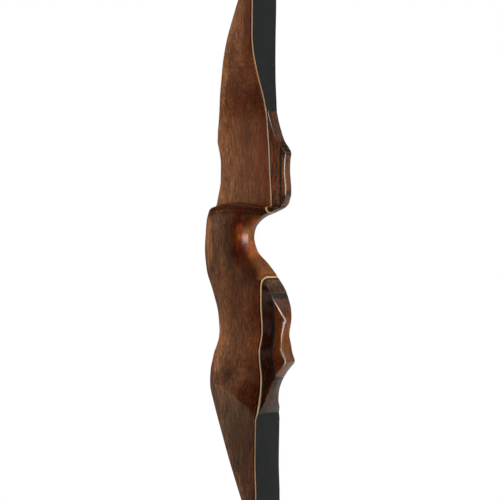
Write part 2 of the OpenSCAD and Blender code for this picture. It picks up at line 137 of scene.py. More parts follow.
# A smooth curve through points that never overshoots them
def makeCurve(points):
    heights = [p[0] for p in points]
    rises = [(b[1] - a[1]) / (b[0] - a[0]) for a, b in zip(points, points[1:])]

    def slopeAt(i, after):
        if i == 0:
            return rises[0]
        if i == len(rises):
            return rises[-1]
        if len(points[i]) > 2:
            return rises[i] if after else rises[i - 1]
        a, b = rises[i - 1], rises[i]
        return 0 if a * b <= 0 else 2 * a * b / (a + b)

    spans = [(slopeAt(i, True), slopeAt(i + 1, False)) for i in range(len(rises))]

    def at(x):
        i = min(max(bisect.bisect_left(heights, x) - 1, 0), len(rises) - 1)
        h = heights[i + 1] - heights[i]
        u = min(max((x - heights[i]) / h, 0), 1)
        s, e = spans[i]
        return ((2 * u ** 3 - 3 * u ** 2 + 1) * points[i][1] + (u ** 3 - 2 * u ** 2 + u) * h * s
                + (3 * u ** 2 - 2 * u ** 3) * points[i + 1][1] + (u ** 3 - u ** 2) * h * e)

    return at


def riserCurves(r):
    half, far, block = r["limbHalf"], r["farHalf"], r["blockTop"]
    low, high, heel, shelf, window = r["bottom"], r["top"], -r["heelDrop"], r["shelf"], r["windowTop"]
    depth, out, grip, fade = r["blockDepth"], r["heelDepth"], r["gripDepth"], r["fadeEnd"]
    roll, rollBack, fall = r["shelfEdge"], r["shelfEdgeBack"], r["shelfFall"]
    backFoot = [[low, -1.8], [-203, -11.1], [-175, -19.9], [-148, -27.9], [-134, -31.3]]
    backHead = [[106, -35.6], [125, -32.2], [147, -24.9], [170, -16.8], [193, -9.5], [high, -4.5]]
    reachFoot = [[-165, 4], [-150, 6], [-139, 8], [heel - 6, 18], [heel + 1, 20]]
    fullHead = [[8, 2], [shelf - 5, 1.6], [shelf, 1.6], [shelf + 3, 2], [110, 2]]
    points = {
        "glue": [
            [low, 15.1], [-205, 14.3], [-175, 14.8], [-160, 15.1], [-100, 15.5], [-40, 15.7], [20, 17.9],
            [34, 17.8], [56, 16.6], [79, 15.5], [102, 13.9], [125, 12.7], [147, 11.6], [170, 11.3],
            [high, 11.6]],
        "back": [
            *backFoot, [-121, -31.7], [-107, -30.7], [-90, -28.1], [-70, -30.1], [-48, -36.1],
            [-30, 1.5 - grip], [-12, -grip], [4, 1.4 - grip], [20, -39.9], [30, -39.1], [38, -37.2],
            [52, -34.3], [66, -34.1], [87, -37.3, 1], *backHead],
        "laminationBack": [
            *backFoot, [-112, -34.7], [-90, -38.7], [-60, -48.3], [0, -54.3], [40, -45.3], [66, -39.9],
            [87, -37.3], *backHead],
        "belly": [
            [-190, 8], [-170, 13.8], [-157, 18.2], [-148, 20.8], [-139, 23.1], [-134.5, 24.9], [-130, 27.1],
            [heel - 7, 32.4], [heel, out - 1, 1], [heel + 2.6, out], [heel + 5, out - 0.7], [heel + 8, 37.6],
            [heel + 12, 36.4], [-90, 35.4], [-76, 36.6], [-66, 34.2], [-57, 30], [-48, 25.1], [-36, 16.1],
            [-24, 9.1], [-12, 2], [0, 0], [8, 1.2], [15, 5.6], [shelf - 10.3, 11], [shelf - 5.3, 20.2],
            [shelf - 0.6, 27.7], [shelf + 3, 30.6], [shelf + 6, depth - 0.5], [shelf + 9.5, depth + 0.7],
            [shelf + 14, depth + 0.8], [60, depth - 0.4], [block - 9, depth], [block - 4, depth + 0.7],
            [block - 1, depth - 0.5], [block + 4, 27.2], [88, 23.6], [97, 20.1], [106, 17.4], [115, 15.4],
            [127, 13.4], [150, 11]],
        "nearBack": [
            [low, half], [-134, half - 0.2], [-121, 21.4], [-107, 20.2], [-96, 17.6], [-84, 15.6], [-66, 15],
            [-45, 15.6], [-24, 16.6], [0, 18], [20, 19.4], [40, 20]],
        "nearGlue": [
            [low, half], [fade, half, 1], [-157, 19.2], [-148, 15.6], [-139, 13.2], [-130, 12.4],
            [-121, 13.4], [-112, 15.4], [-103, 15.9], [-94, 12.8], [-85, 10.8], [-75, 11.4], [-66, 12.8],
            [-54, 13.2], [-44, 13.2], [-24, 15.4], [0, 17.4], [20, 19.4], [40, 20]],
        "farBack": [
            [low, half], [-134, half - 0.2], [-110, 20.6], [-90, 18.8], [-66, 18.4], [-40, 19.4], [-10, 20],
            [20, far], [window + 30, far], [high, half]],
        "farGlue": [
            [low, half], [fade, half, 1], [-157, 20.4], [-148, 16.2], [-139, 13.6], [-130, 12.8],
            [-121, 13], [-112, 14.2], [-103, 15], [-94, 14], [-85, 13.4], [-75, 15], [-64, 17.6], [-52, 20.2],
            [-40, 21.6], [-24, 21], [0, 20.4], [20, far], [window + 30, far], [high, half]],
        "nearFace": [
            [-200, half], [-165, half, 1], [-156, 16], [-148, 12.2], [-139, 10], [-130, 9.4],
            [heel - 6, 10.8], [heel + 1, 11], [heel + 8, 10.4], [-98, 9.2], [-88, 7], [-80, 4.2], [-76, 3.8],
            [-72, 7.2], [-67, 11], [-58, 14.8], [-50, 14.6], [-45, 12.4], [-40, 6], [-34, -0.5], [-16, -1.2],
            [0, -0.4], [16, 0.5], [40, 0.5]],
        "farFace": [
            [-200, half], [-165, half, 1], [-156, 19.8], [-148, 13.4], [-139, 10.4], [-130, 9],
            [heel - 6, 8.4], [heel + 1, 8], [heel + 8, 9.2], [-98, 7.6], [-88, 4.2], [-77, 5.6], [-66, 11],
            [-54, 16.4], [-46, 19], [-36, 20.8], [-26, 16], [-12, 4.4], [0, 1.8], [12, 3.6], [24, 10],
            [36, far - 7], [block - 6, far - 7], [block + 6, far - 1], [window + 10, far - 0.3],
            [high, half]],
        "nearReach": [
            *reachFoot, [heel + 8, 9], [-98, 9.5], [-86, 9.5], [-78, 10], [-72, 8], [-66, 6], [-58, 12],
            [-50, 10.5], [-44, 8], [-40, 9], [-36, 12], [-20, 17], [0, 21], [10, 27], [shelf - 11, 37],
            [shelf - 1, 43], [shelf + 9, 43]],
        "nearFull": [
            [heel - 5, 1], [heel + 2, 1], [heel + 8, 1.5], [-98, 1.7], [-88, 1.7], [-78, 1.4], [-70, 1.25],
            [-64, 1.2], [-58, 1], [-50, 1], [-44, 1.3], [-38, 2], *fullHead],
        "farReach": [
            *reachFoot, [heel + 8, 7], [-98, 8], [-86, 11], [-76, 11], [-66, 8], [-54, 5], [-36, 5],
            [-22, 14], [0, 23], [18, 18], [30, 8], [block - 6, 8], [block + 6, 2], [120, 0.6]],
        "farFull": [[heel - 5, 1], [heel + 2, 1], [heel + 11, 1.6], [-96, 2], *fullHead],
        "backRound": [
            [-140, 0], [-124, 1], [-106, 4.5], [-84, 7.5], [-12, 9.5], [22, 9], [34, 4], [60, 3], [80, 1],
            [92, 0]],
        "backReach": [
            [-140, 1], [-124, 2], [-106, 8], [-84, 13], [-12, 16], [22, 15], [34, 6], [60, 4], [80, 2],
            [92, 1]],
        "scoopEnd": [[-31, -133], [-14, -137], [-7, -141], [-2, -145.5], [3, -151], [15, fade]],
        "shelfLine": [
            [-44, -4.9], [-38, -3.8], [-25, -1.2], [-12, 0], [0, -0.3 * fall], [11.4, -0.92 * fall],
            [18, -fall], [30, -fall]],
        "shelfRoll": [[-44, rollBack], [-34, rollBack - 1.5], [-22, roll + 2], [-10, roll], [30, roll]],
    }
    return {name: makeCurve(p) for name, p in points.items()}


riser = riserCurves(riserShape)

# The layers through riser and limbs, thicknesses in millimetres
layerSizes = {
    "bellyGlass": 1.1,
    "bellyCore": 1.2,
    "backGlass": 1.2,
    "backCore": 4.4,      # thins out to the next value at the tips
    "backCoreTip": 2.6,
    "accent": 2.0,
    "accentDepth": 27.1,  # from the throat's plane
    "outside": 90,        # past all that is carved
    "least": 0.012,       # a layer that is thinner has ended
}


def clamp(x, lo=0.0, hi=1.0):
    return max(lo, min(hi, x))


# A round corner: 0 at t = 0 and 1 at t = 1
def corner(t, n=2):
    return 1 - max(0, 1 - t ** n) ** (1 / n)


def smoothStep(t):
    return (1 - math.cos(math.pi * clamp(t))) / 2


def bellyDepth(z):
    carved = riser["belly"](z)
    if -riserShape["heelDrop"] <= z <= riserShape["blockTop"]:
        return carved
    return max(carved, riser["glue"](z) + layerSizes["bellyCore"] + layerSizes["bellyGlass"])


def layerFaces(z):
    s = layerSizes
    b, g = riser["laminationBack"](z), riser["glue"](z)
    back, belly = b + s["backGlass"], g + s["bellyCore"]
    return [b, back, back + s["backCore"], g, belly, belly + s["bellyGlass"], s["accentDepth"],
            s["accentDepth"] + s["accent"], s["outside"]]


# Everything about the riser at height z that the widths need; stage 1 is above the shelf
def riserSection(z, stage):
    r = riserShape
    section = {"z": z, "stage": stage, "ownZ": z, "ownD": 0, "along": (1, 0), "back": riser["back"](z),
               "belly": bellyDepth(z), "faces": layerFaces(z)}
    for name in ("glue", "nearBack", "nearGlue", "nearFace", "nearReach", "farBack", "farGlue",
                 "farFace", "farReach", "nearFull", "farFull", "backRound", "backReach"):
        section[name] = riser[name](z)
    section["pull"] = clamp((r["scoopLow"] - z) / r["scoopFade"])
    grow = smoothStep((z - r["windowTop"]) / r["windowRunout"])
    section["window"] = (r["limbHalf"] + r["windowCut"]) * grow - r["windowCut"]
    onHeel = smoothStep((z + r["heelDrop"] + r["heelEaseBelow"]) / r["heelEaseFade"])
    onHeel *= smoothStep((r["heelEaseTop"] - z) / r["heelEaseFade"])
    section["ease"] = r["edgeEase"] + (r["heelEase"] - r["edgeEase"]) * onHeel
    section["windowEase"] = r["windowEase"] * (1 - clamp((z - r["blockTop"]) / r["windowEaseFade"]))
    section["crown"] = clamp(1 - abs(z - r["shelf"]) / r["crownReach"])
    return section


# Half width of the riser body at depth d, before the window is cut
def bodyHalf(c, d, side):
    atGlue = c[side + "Glue"]
    if c["pull"] > 0 and d < c["glue"]:
        atGlue = riser[side + "Glue"](c["z"] + c["pull"] * (riserShape["fadeEnd"] - riser["scoopEnd"](d)))
    v = clamp((d - c["back"]) / (c["glue"] - c["back"]))
    plain = c[side + "Back"] * (1 - v) + atGlue * v
    rounded = plain - c["backRound"] * corner(clamp((c["back"] + c["backReach"] - d) / c["backReach"]))
    t = clamp((d - c["belly"] + c[side + "Reach"]) / c[side + "Reach"])
    return rounded + (c[side + "Face"] - rounded) * corner(t, c[side + "Full"])


# How much a width is rounded off at depth d, up to 1 at the back and belly edges
def roundedOff(c, d, reach):
    return corner(clamp(1 - (d - c["back"]) / reach)) + corner(clamp(1 - (c["belly"] - d) / reach))


def windowHalf(c, d):
    return c["window"] - c["windowEase"] * roundedOff(c, d, riserShape["windowEaseReach"])


def easedEdge(c, d, ease=riserShape["edgeEase"]):
    return ease * roundedOff(c, d, ease)


def nearHalf(c, d):
    if "half" in c:
        return c["half"] - easedEdge(c, d)
    r, z, fillet = riserShape, c["z"], riserShape["shelfFillet"]
    edge = riser["shelfRoll"](d)
    if z < r["shelf"] - edge:
        return bodyHalf(c, d, "near") - easedEdge(c, d, c["ease"])
    if c["stage"] == 0:
        roll = edge * corner((z - r["shelf"] + edge) / edge)
        return max(bodyHalf(c, d, "near") - easedEdge(c, d) - roll, windowHalf(c, d) + fillet)
    top = r["shelf"] + r["shelfRise"] + fillet
    if z < top:
        return windowHalf(c, d) + fillet * corner((top - z) / fillet)
    if c["windowEase"] > 0:
        return windowHalf(c, d)
    return windowHalf(c, d) - easedEdge(c, d)


def farHalf(c, d):
    if "half" in c:
        return c["half"] - easedEdge(c, d)
    return bodyHalf(c, d, "far") - easedEdge(c, d)


# A point at depth d and width w of a section, in metres in the frame
def place(c, d, w):
    lift = c["crown"] * riser["shelfLine"](d) if "crown" in c else 0
    return Vector((-w, -(c["ownD"] + d * c["along"][0]), c["ownZ"] + d * c["along"][1] + lift)) * 0.001


# The height between a and b where a carved line cuts layer face k
def crossing(line, k, a, b):
    for _ in range(30):
        m = (a + b) / 2
        if (line(a) - layerFaces(a)[k]) * (line(m) - layerFaces(m)[k]) <= 0:
            b = m
        else:
            a = m
    return (a + b) / 2


def riserHeights():
    r = riserShape
    block, heel = r["blockTop"], -r["heelDrop"]
    spans = [("belly", (3, 4, 5, 6, 7), 0, 46), ("belly", (5, 6, 7), block - 2, 145),
             ("belly", (3, 4, 5, 6, 7), -76, 0), ("belly", (5, 6, 7), -188, heel - 1),
             ("back", (1, 2), 66, 92), ("back", (1, 2), -136, -95)]
    cuts = [crossing(riser[line], k, a, b) for line, faces, a, b in spans for k in faces]
    edge, fillet = r["shelfEdge"], r["shelfFillet"]
    top = r["shelf"] + r["shelfRise"] + fillet
    fine = [r["shelf"] - edge + edge * math.sin(math.radians(a)) for a in range(0, 90, 9)]
    fine += [top - fillet * math.cos(math.radians(a)) for a in range(15, 91, 15)]
    fine += [heel, heel - 0.5, heel + 0.5, heel + 1.2, heel + 2.6, heel + 4, 87, r["fadeEnd"], -165]
    steps = round((r["top"] - r["bottom"]) / r["sectionStep"])
    plain = [r["bottom"] + (r["top"] - r["bottom"]) * i / steps for i in range(steps + 1)]
    plain = [z for z in plain if not r["shelf"] - edge < z < top]
    kept = sorted(cuts)
    for z in fine + plain:
        if all(abs(z - k) > r["leastStep"] for k in kept):
            kept.append(z)
    return sorted(kept)


riserShelf, overShelf = riserShape["shelf"], riserShape["shelf"] + riserShape["shelfRise"]
heights = riserHeights()
riserSections = [riserSection(z, 0) for z in heights if z < riserShelf - 0.05]
riserSections += [riserSection(riserShelf, 0), riserSection(overShelf, 1)]
riserSections += [riserSection(z, 1) for z in heights if z > overShelf + 0.05]
print("riser sections:", len(riserSections))

# The limbs past the riser: lengths along the pale lamination and angles in degrees
limbShape = {
    "length": 543,
    "deflex": 7,         # lean to the belly
    "recurve": 60,       # lean to the back at the tip
    "fade": 86,          # the riser's wedge in the limb
    "wedge": 170,        # the tip's wedge
    "wedgeTip": 2.4,
    "tipHalf": 6.5,
    "tipRound": 7,
    "tipFlatHalf": 1.5,
    "nockFromTip": 19,
    "nockRadius": 2.2,
    "nockDepth": 1.9,
    "overlay": 52,
    "overlayBlack": 1.0,
    "overlayPale": 1.4,
    "overlayCap": 2.8,
    "capFlat": 26,       # the overlay's full height, from the tip
    "capRound": 6,
    "capEnd": 0.55,      # share of the height that is left at the very tip
    "pathStep": 1.0,
    "step": 4.0,         # from section to section, and under the tip's overlay
    "overlayStep": 2.0,
    "leastStep": 0.08,
}


def limbCurves(s):
    deflex, bend, half, tip = s["deflex"], s["recurve"], riserShape["limbHalf"], s["tipHalf"]
    lean = makeCurve([[0, 0], [60, deflex - 1], [150, deflex], [250, 0], [340, -0.24 * bend],
                      [430, -0.64 * bend], [500, -0.93 * bend], [600, -bend]])
    full = s["length"]
    width = makeCurve([[0, half], [0.24 * full, half], [0.55 * full, 0.8 * half], [0.79 * full, 0.5 * half],
                       [full - 34, tip + 0.2], [full - 10, tip]])
    step, d, z, path = s["pathStep"], 0.0, 0.0, []
    for i in range(int(s["length"] / step) + 3):
        path.append((d, z))
        a = math.radians(lean((i + 0.5) * step))
        d, z = d + step * math.sin(a), z + step * math.cos(a)
    return lean, width, path


limbLean, limbWidth, limbPath = limbCurves(limbShape)


def tipHalf(s):
    t = limbShape
    x, left = abs(s - (t["length"] - t["nockFromTip"])), t["length"] - s
    half = limbWidth(s)
    if x < t["nockRadius"]:
        half -= max(0, t["nockDepth"] - t["nockRadius"] * corner(x / t["nockRadius"]))
    if left < t["tipRound"]:
        half -= (t["tipHalf"] - t["tipFlatHalf"]) * corner(1 - left / t["tipRound"])
    return half


def limbSection(s, side):
    t, l = limbShape, layerSizes
    start = riserShape["top"] if side > 0 else riserShape["bottom"]
    lean = math.radians(limbLean(s))
    i = int(s / t["pathStep"])
    u = s / t["pathStep"] - i
    d = limbPath[i][0] * (1 - u) + limbPath[i + 1][0] * u
    z = limbPath[i][1] * (1 - u) + limbPath[i + 1][1] * u
    core = l["backCore"] + (l["backCoreTip"] - l["backCore"]) * clamp(s / t["length"])
    first = riser["glue"](start) - riser["laminationBack"](start) - l["backGlass"] - l["backCore"]
    inner = -max(first * clamp(1 - s / t["fade"]) ** 3,
                 t["wedgeTip"] * clamp((s - t["length"] + t["wedge"]) / t["wedge"]))
    out = inner - core - l["backGlass"]
    ramp = smoothStep((s - t["length"] + t["overlay"]) / (t["overlay"] - t["capFlat"]))
    end = clamp((t["length"] - s) / t["capRound"])
    stack = t["overlayBlack"] + t["overlayPale"] + t["overlayCap"]
    cap = stack * ramp * (t["capEnd"] + (1 - t["capEnd"]) * math.sqrt(end * (2 - end)))
    belly = l["bellyCore"] + l["bellyGlass"]
    black = out - t["overlayBlack"]
    return {
        "s": s, "ownZ": start + side * z, "ownD": riser["glue"](start) + d,
        "along": (math.cos(lean), -side * math.sin(lean)), "back": out - cap, "belly": belly,
        "faces": [out, out + l["backGlass"], inner, 0, l["bellyCore"], belly, *[l["outside"]] * 3, black,
                  black - t["overlayPale"], out - stack],
        "half": tipHalf(s),
    }


def limbSteps(s):
    nock = s["length"] - s["nockFromTip"]
    groove = math.sqrt(s["nockRadius"] ** 2 - (s["nockRadius"] - s["nockDepth"]) ** 2)
    overlay = s["length"] - s["overlay"]
    steps = [s["step"] * (i + 0.5) for i in range(int(overlay / s["step"] - 1))]
    count = int((nock - groove - overlay) / s["overlayStep"])
    steps += [overlay + s["overlayStep"] * i for i in range(count)]
    steps += [nock + groove * math.sin(math.radians(a)) for a in range(-90, 91, 15)]
    steps += [s["length"] - x for x in (14, 12, 10, 8.4, 7, 5.8, 4.7, 3.7, 2.8, 2, 1.3, 0.7, 0.3, 0.1, 0)]
    kept = []
    for x in sorted(steps):
        if not kept or x - kept[-1] > s["leastStep"]:
            kept.append(x)
    return kept


upperLimb = [limbSection(s, 1) for s in limbSteps(limbShape)]
lowerLimb = [limbSection(s, -1) for s in reversed(limbSteps(limbShape))]
lowerHalf = lowerLimb + [c for c in riserSections if c["z"] < 1]
upperHalf = [c for c in riserSections if c["z"] > -1] + upperLimb
wholeBow = lowerLimb + riserSections + upperLimb
print("limb sections:", len(upperLimb), "on each side")


# Where a layer starts and ends at a section; both are the same where it has run out
def layerSpan(c, lowFace, highFace):
    lo, hi = max(c["faces"][lowFace], c["back"]), min(c["faces"][highFace], c["belly"])
    if hi - lo > layerSizes["least"]:
        return lo, hi
    edge = max(min(lo, hi), c["back"])
    return edge, edge


meshSettings = {
    "weld": 2e-6,    # metres
    "sliver": 1e-6,
    "sharp": 38,     # degrees
}


# A closed solid between two layer faces, inside the carved outline. Its vertices keep how far they
# are from the layer's belly side and from the belly in millimetres, 1 on the near side, and their height.
def layerMesh(name, sections, lowFace, highFace, steps):
    spans = [layerSpan(c, lowFace, highFace) for c in sections]
    thick = [hi > lo for lo, hi in spans]
    used = [i for i in range(len(sections)) if any(thick[max(0, i - 1):i + 2])]
    mesh = bmesh.new()
    layers = [mesh.verts.layers.float.new(n) for n in ("toSeam", "toBelly", "nearSide", "level")]
    rings = []
    for i in used:
        c, (lo, hi) = sections[i], spans[i]
        depths = [lo + (hi - lo) * smoothStep(j / steps) for j in range(steps + 1)]
        ring = [place(c, d, nearHalf(c, d)) for d in depths]
        ring += [place(c, d, -farHalf(c, d)) for d in reversed(depths)]
        rings.append([mesh.verts.new(p) for p in ring])
        for j, (vert, d) in enumerate(zip(rings[-1], depths + depths[::-1])):
            near = 1.0 if j <= steps else 0.0
            for layer, value in zip(layers, (c["faces"][highFace] - d, c["belly"] - d, near, c["ownZ"])):
                vert[layer] = value
    count = 2 * steps + 2
    for a, b in zip(rings, rings[1:]):
        for j in range(count):
            k = (j + 1) % count
            mesh.faces.new((a[j], b[j], b[k], a[k]))
    for j in range(steps):
        k = count - 1 - j
        mesh.faces.new((rings[0][j], rings[0][j + 1], rings[0][k - 1], rings[0][k]))
        mesh.faces.new((rings[-1][k], rings[-1][k - 1], rings[-1][j + 1], rings[-1][j]))
    bmesh.ops.remove_doubles(mesh, verts=mesh.verts, dist=meshSettings["weld"])
    bmesh.ops.dissolve_degenerate(mesh, edges=mesh.edges, dist=meshSettings["sliver"])
    bmesh.ops.recalc_face_normals(mesh, faces=mesh.faces)
    data = bpy.data.meshes.new(name)
    mesh.to_mesh(data)
    mesh.free()
    data.shade_smooth()
    data.set_sharp_from_angle(angle=math.radians(meshSettings["sharp"]))
    return data


# A piece such as upperTipCap for the node upper_tip_cap
def makePiece(side, node, slotName, sections, lowFace, highFace, steps):
    name = side + node.title().replace("_", "")
    piece = bpy.data.objects.new(name, layerMesh(name, sections, lowFace, highFace, steps))
    bpy.context.scene.collection.objects.link(piece)
    piece.data.materials.append(materials[slotName])
    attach(piece, "root")
    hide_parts(side + "_" + node)


white = [1.0, 1.0, 1.0, 1.0]


# A screen colour such as 7c533c as the linear colour that a shader takes
def colour(code):
    parts = [int(code[i:i + 2], 16) / 255 for i in (0, 2, 4)]
    return [p / 12.92 if p <= 0.04045 else ((p + 0.055) / 1.055) ** 2.4 for p in parts] + [1.0]


# One output of a node. Sums and products of outputs make Math nodes, and output["Name"] is another
# output of the same node.
class NodeOutput:
    def __init__(self, node, key=0):
        self.node = node
        self.key = key
        self.tree = node.id_data

    def __getitem__(self, key):
        return NodeOutput(self.node, key)

    def __add__(self, other):
        return self.maths("ADD", other)

    def __sub__(self, other):
        return self.maths("SUBTRACT", other)

    def __mul__(self, other):
        return self.maths("MULTIPLY", other)

    def __truediv__(self, other):
        return self.maths("DIVIDE", other)

    def maths(self, operation, other=0.0):
        return add(self.tree, "Math", {0: self, 1: other}, operation=operation)

    def vector(self, operation, other):
        return add(self.tree, "VectorMath", {0: self, 1: other}, operation=operation)

    # Smoothly from 0 to 1, or between two other results, while the value goes from lo to hi
    def spread(self, lo, hi, toLo=0.0, toHi=1.0):
        values = {0: self, 1: lo, 2: hi, 3: toLo, 4: toHi}
        return add(self.tree, "MapRange", values, interpolation_type="SMOOTHSTEP")

    # This colour, blended with another one by a factor
    def mix(self, factor, other, blend="MIX"):
        return add(self.tree, "Mix", {0: factor, 6: self, 7: other}, data_type="RGBA", blend_type=blend)[2]

    # Keeps only the given shares of red, green and blue where part is 1
    def shade(self, part, shares):
        return self.mix(part, [*shares, 1], "MULTIPLY")

    def noise(self, scale, detail=2.0, roughness=0.5):
        values = {"Vector": self, "Scale": scale, "Detail": detail, "Roughness": roughness}
        return add(self.tree, "TexNoise", values)

    # Noise drawn out along the bow; width and length are its sizes in metres
    def grain(self, width, length, detail, roughness=0.5):
        size = add(self.tree, "CombineXYZ", {0: width, 1: width, 2: length})
        return self.vector("DIVIDE", size).noise(1.0, detail, roughness)


# Sets inputs of a node to numbers, or links them to outputs of other nodes
def fill(node, values):
    for key, value in values.items():
        if isinstance(value, NodeOutput):
            node.id_data.links.new(value.node.outputs[value.key], node.inputs[key])
        else:
            node.inputs[key].default_value = value


# A new node with its inputs filled, as its first output
def add(tree, kind, values=None, **settings):
    node = tree.nodes.new("ShaderNode" + kind)
    for key, value in settings.items():
        setattr(node, key, value)
    fill(node, values or {})
    return NodeOutput(node)


def objectPlace(tree):
    return add(tree, "TexCoord")["Object"]


# A number that layerMesh left at every vertex
def vertexValue(tree, name):
    return add(tree, "Attribute", attribute_name=name)["Fac"]


# An empty node group; every socket is a name with a default value
def newGroup(name, inputs, outputs):
    tree = bpy.data.node_groups.new(name, "ShaderNodeTree")
    for sockets, way in ((inputs, "INPUT"), (outputs, "OUTPUT")):
        for socketName, value in sockets.items():
            kind = "NodeSocketColor" if isinstance(value, list) else "NodeSocketFloat"
            socket = tree.interface.new_socket(name=socketName, in_out=way, socket_type=kind)
            socket.default_value = value
    return tree, NodeOutput(tree.nodes.new("NodeGroupInput")), tree.nodes.new("NodeGroupOutput")


# The noises of the wood figure by width and length, and how much each one counts
woodParts = {
    "wander": 9.0,            # scale of the noise that bends the grain
    "bandLength": 6.0,        # as a share of the band width
    "fine": (0.32, 0.3),      # as shares of the streaks' width and length
    "pore": (0.2, 0.14),      # the same
    "fleck": (0.8, 4.5),      # both as shares of the streaks' width
    "red": (1.4, 0.16),       # a share of the band width, and metres
    "ribbon": (0.02, 0.035),  # metres
    "bandShare": 0.17,
    "streakShare": 0.45,
    "fineShare": 0.4,
    "fleckShare": 0.28,
    "redShare": 0.4,
    "poreShare": 0.75,
    "streakRelief": 0.2,
    "fineRelief": 0.12,
    "poreRelief": 0.7,
}


def buildWoodGroup(w):
    tree, given, put = newGroup("woodFigure", {
        "Dark": white, "Middle": white, "Light": white, "Red": white, "Band Width": 0.007,
        "Streak Width": 0.0011, "Streak Length": 0.009, "Waviness": 0.007, "Figure": 0.1, "Pores": 0.6,
        "Offset": 0.0}, {"Color": white, "Height": 0.0})
    bandWidth, width, length = given["Band Width"], given["Streak Width"], given["Streak Length"]
    moved = objectPlace(tree).vector("ADD", given["Offset"])
    bend = moved.noise(w["wander"], 1.0)["Color"].vector("SUBTRACT", (0.5, 0.5, 0.5))
    bend = bend.vector("MULTIPLY", (1.0, 1.0, 0.0)).vector("MULTIPLY", given["Waviness"])
    where = moved.vector("ADD", bend)
    bands = where.grain(bandWidth, bandWidth * w["bandLength"], 2.0)
    streaks = where.grain(width, length, 2.0, 0.6).spread(0.3, 0.7)
    fine = where.grain(width * w["fine"][0], length * w["fine"][1], 2.0).spread(0.3, 0.7)
    pores = where.grain(width * w["pore"][0], length * w["pore"][1], 1.0).spread(0.6, 0.68) * given["Pores"]
    flecks = where.grain(width * w["fleck"][0], width * w["fleck"][1], 1.0).spread(0.58, 0.7)
    flecks = flecks * bands.spread(0.4, 0.6, 0.25, 1.0)
    red = where.grain(bandWidth * w["red"][0], w["red"][1], 1.0).spread(0.48, 0.66, 0.0, w["redShare"])
    ribbon = where.grain(*w["ribbon"], 1.5).spread(0.3, 0.7)
    tone = (bands.spread(0.33, 0.67) * w["bandShare"] + streaks * w["streakShare"] + fine * w["fineShare"]
            + (ribbon - 0.5) * given["Figure"])
    wood = given["Dark"].mix(tone.spread(0.05, 0.52), given["Middle"])
    wood = wood.mix(tone.spread(0.48, 0.98), given["Light"])
    wood = wood.mix(flecks * w["fleckShare"], given["Light"], "ADD")
    wood = wood.mix(red, given["Red"]).mix(pores * w["poreShare"], given["Dark"])
    height = streaks * w["streakRelief"] + fine * w["fineRelief"] - pores * w["poreRelief"]
    fill(put, {"Color": wood, "Height": height})
    return tree


# The lacquer's unevenness by the scales of its noises
lacquerParts = {
    "peel": 260.0,
    "swirl": 34.0,
    "specks": 420.0,
    "swirlRelief": 2.0,
}


def buildLacquerGroup(skin):
    tree, given, put = newGroup("lacquerSkin", {"Roughness": 0.4, "Unevenness": 0.12, "Dust": 0.04},
                                {"Roughness": 0.4, "Height": 0.0, "Dust": 0.0})
    where = objectPlace(tree)
    peel = where.noise(skin["peel"], 1.0)
    swirl = where.noise(skin["swirl"], 3.0)
    specks = add(tree, "TexVoronoi", {"Vector": where, "Scale": skin["specks"]})["Distance"]
    fill(put, {
        "Roughness": (swirl - 0.5) * given["Unevenness"] + given["Roughness"],
        "Height": swirl * skin["swirlRelief"] + peel,
        "Dust": specks.spread(0.16, 0.05) * given["Dust"] * swirl.spread(0.5, 0.72)})
    return tree


